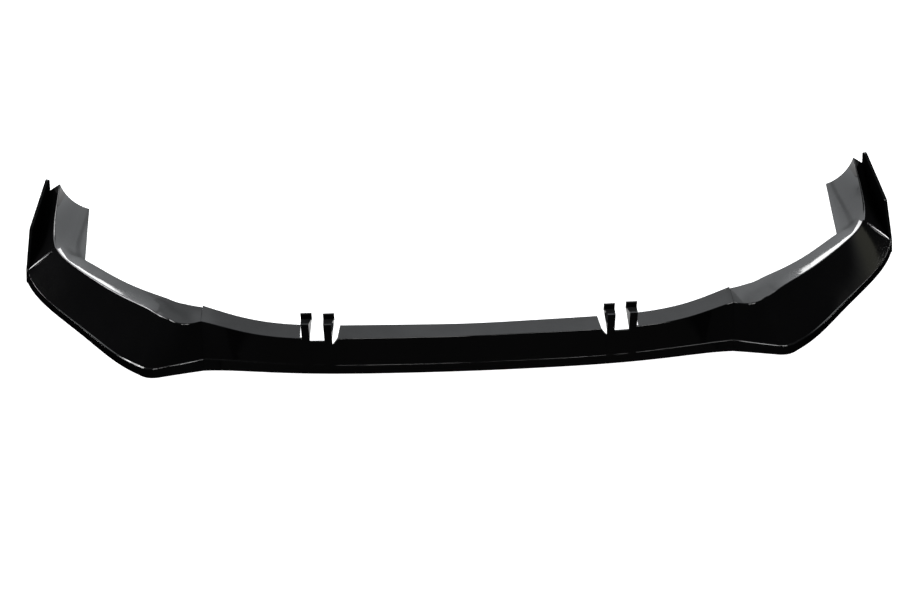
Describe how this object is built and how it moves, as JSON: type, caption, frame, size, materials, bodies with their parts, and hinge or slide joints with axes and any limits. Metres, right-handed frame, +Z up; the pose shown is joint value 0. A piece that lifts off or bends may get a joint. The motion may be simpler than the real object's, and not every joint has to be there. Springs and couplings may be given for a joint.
{
  "type": "front splitter lip",
  "caption": "Shallow U-shaped lip for the lower edge of a car's front bumper, with a ledge on top, swept wings, raised ends with upright fins, and posts in notches of the ledge.",
  "frame": {"origin": "on the ground under the middle of the whole lip", "axes": "+X across the car to the lip's right end in the picture, +Y to the car's rear, +Z up"},
  "size_m": [1.8068, 0.4642, 0.1658],
  "materials": {
    "lip_plastic": "gloss black",
    "zinc_steel": "zinc plated"
  },
  "bodies": {
    "root": {"centre_section": "lip_plastic", "left_wing": "lip_plastic", "right_wing": "lip_plastic", "left_joint_screws": "zinc_steel", "right_joint_screws": "zinc_steel", "left_joint_nuts": "zinc_steel", "right_joint_nuts": "zinc_steel"}
  },
  "joints": []
}
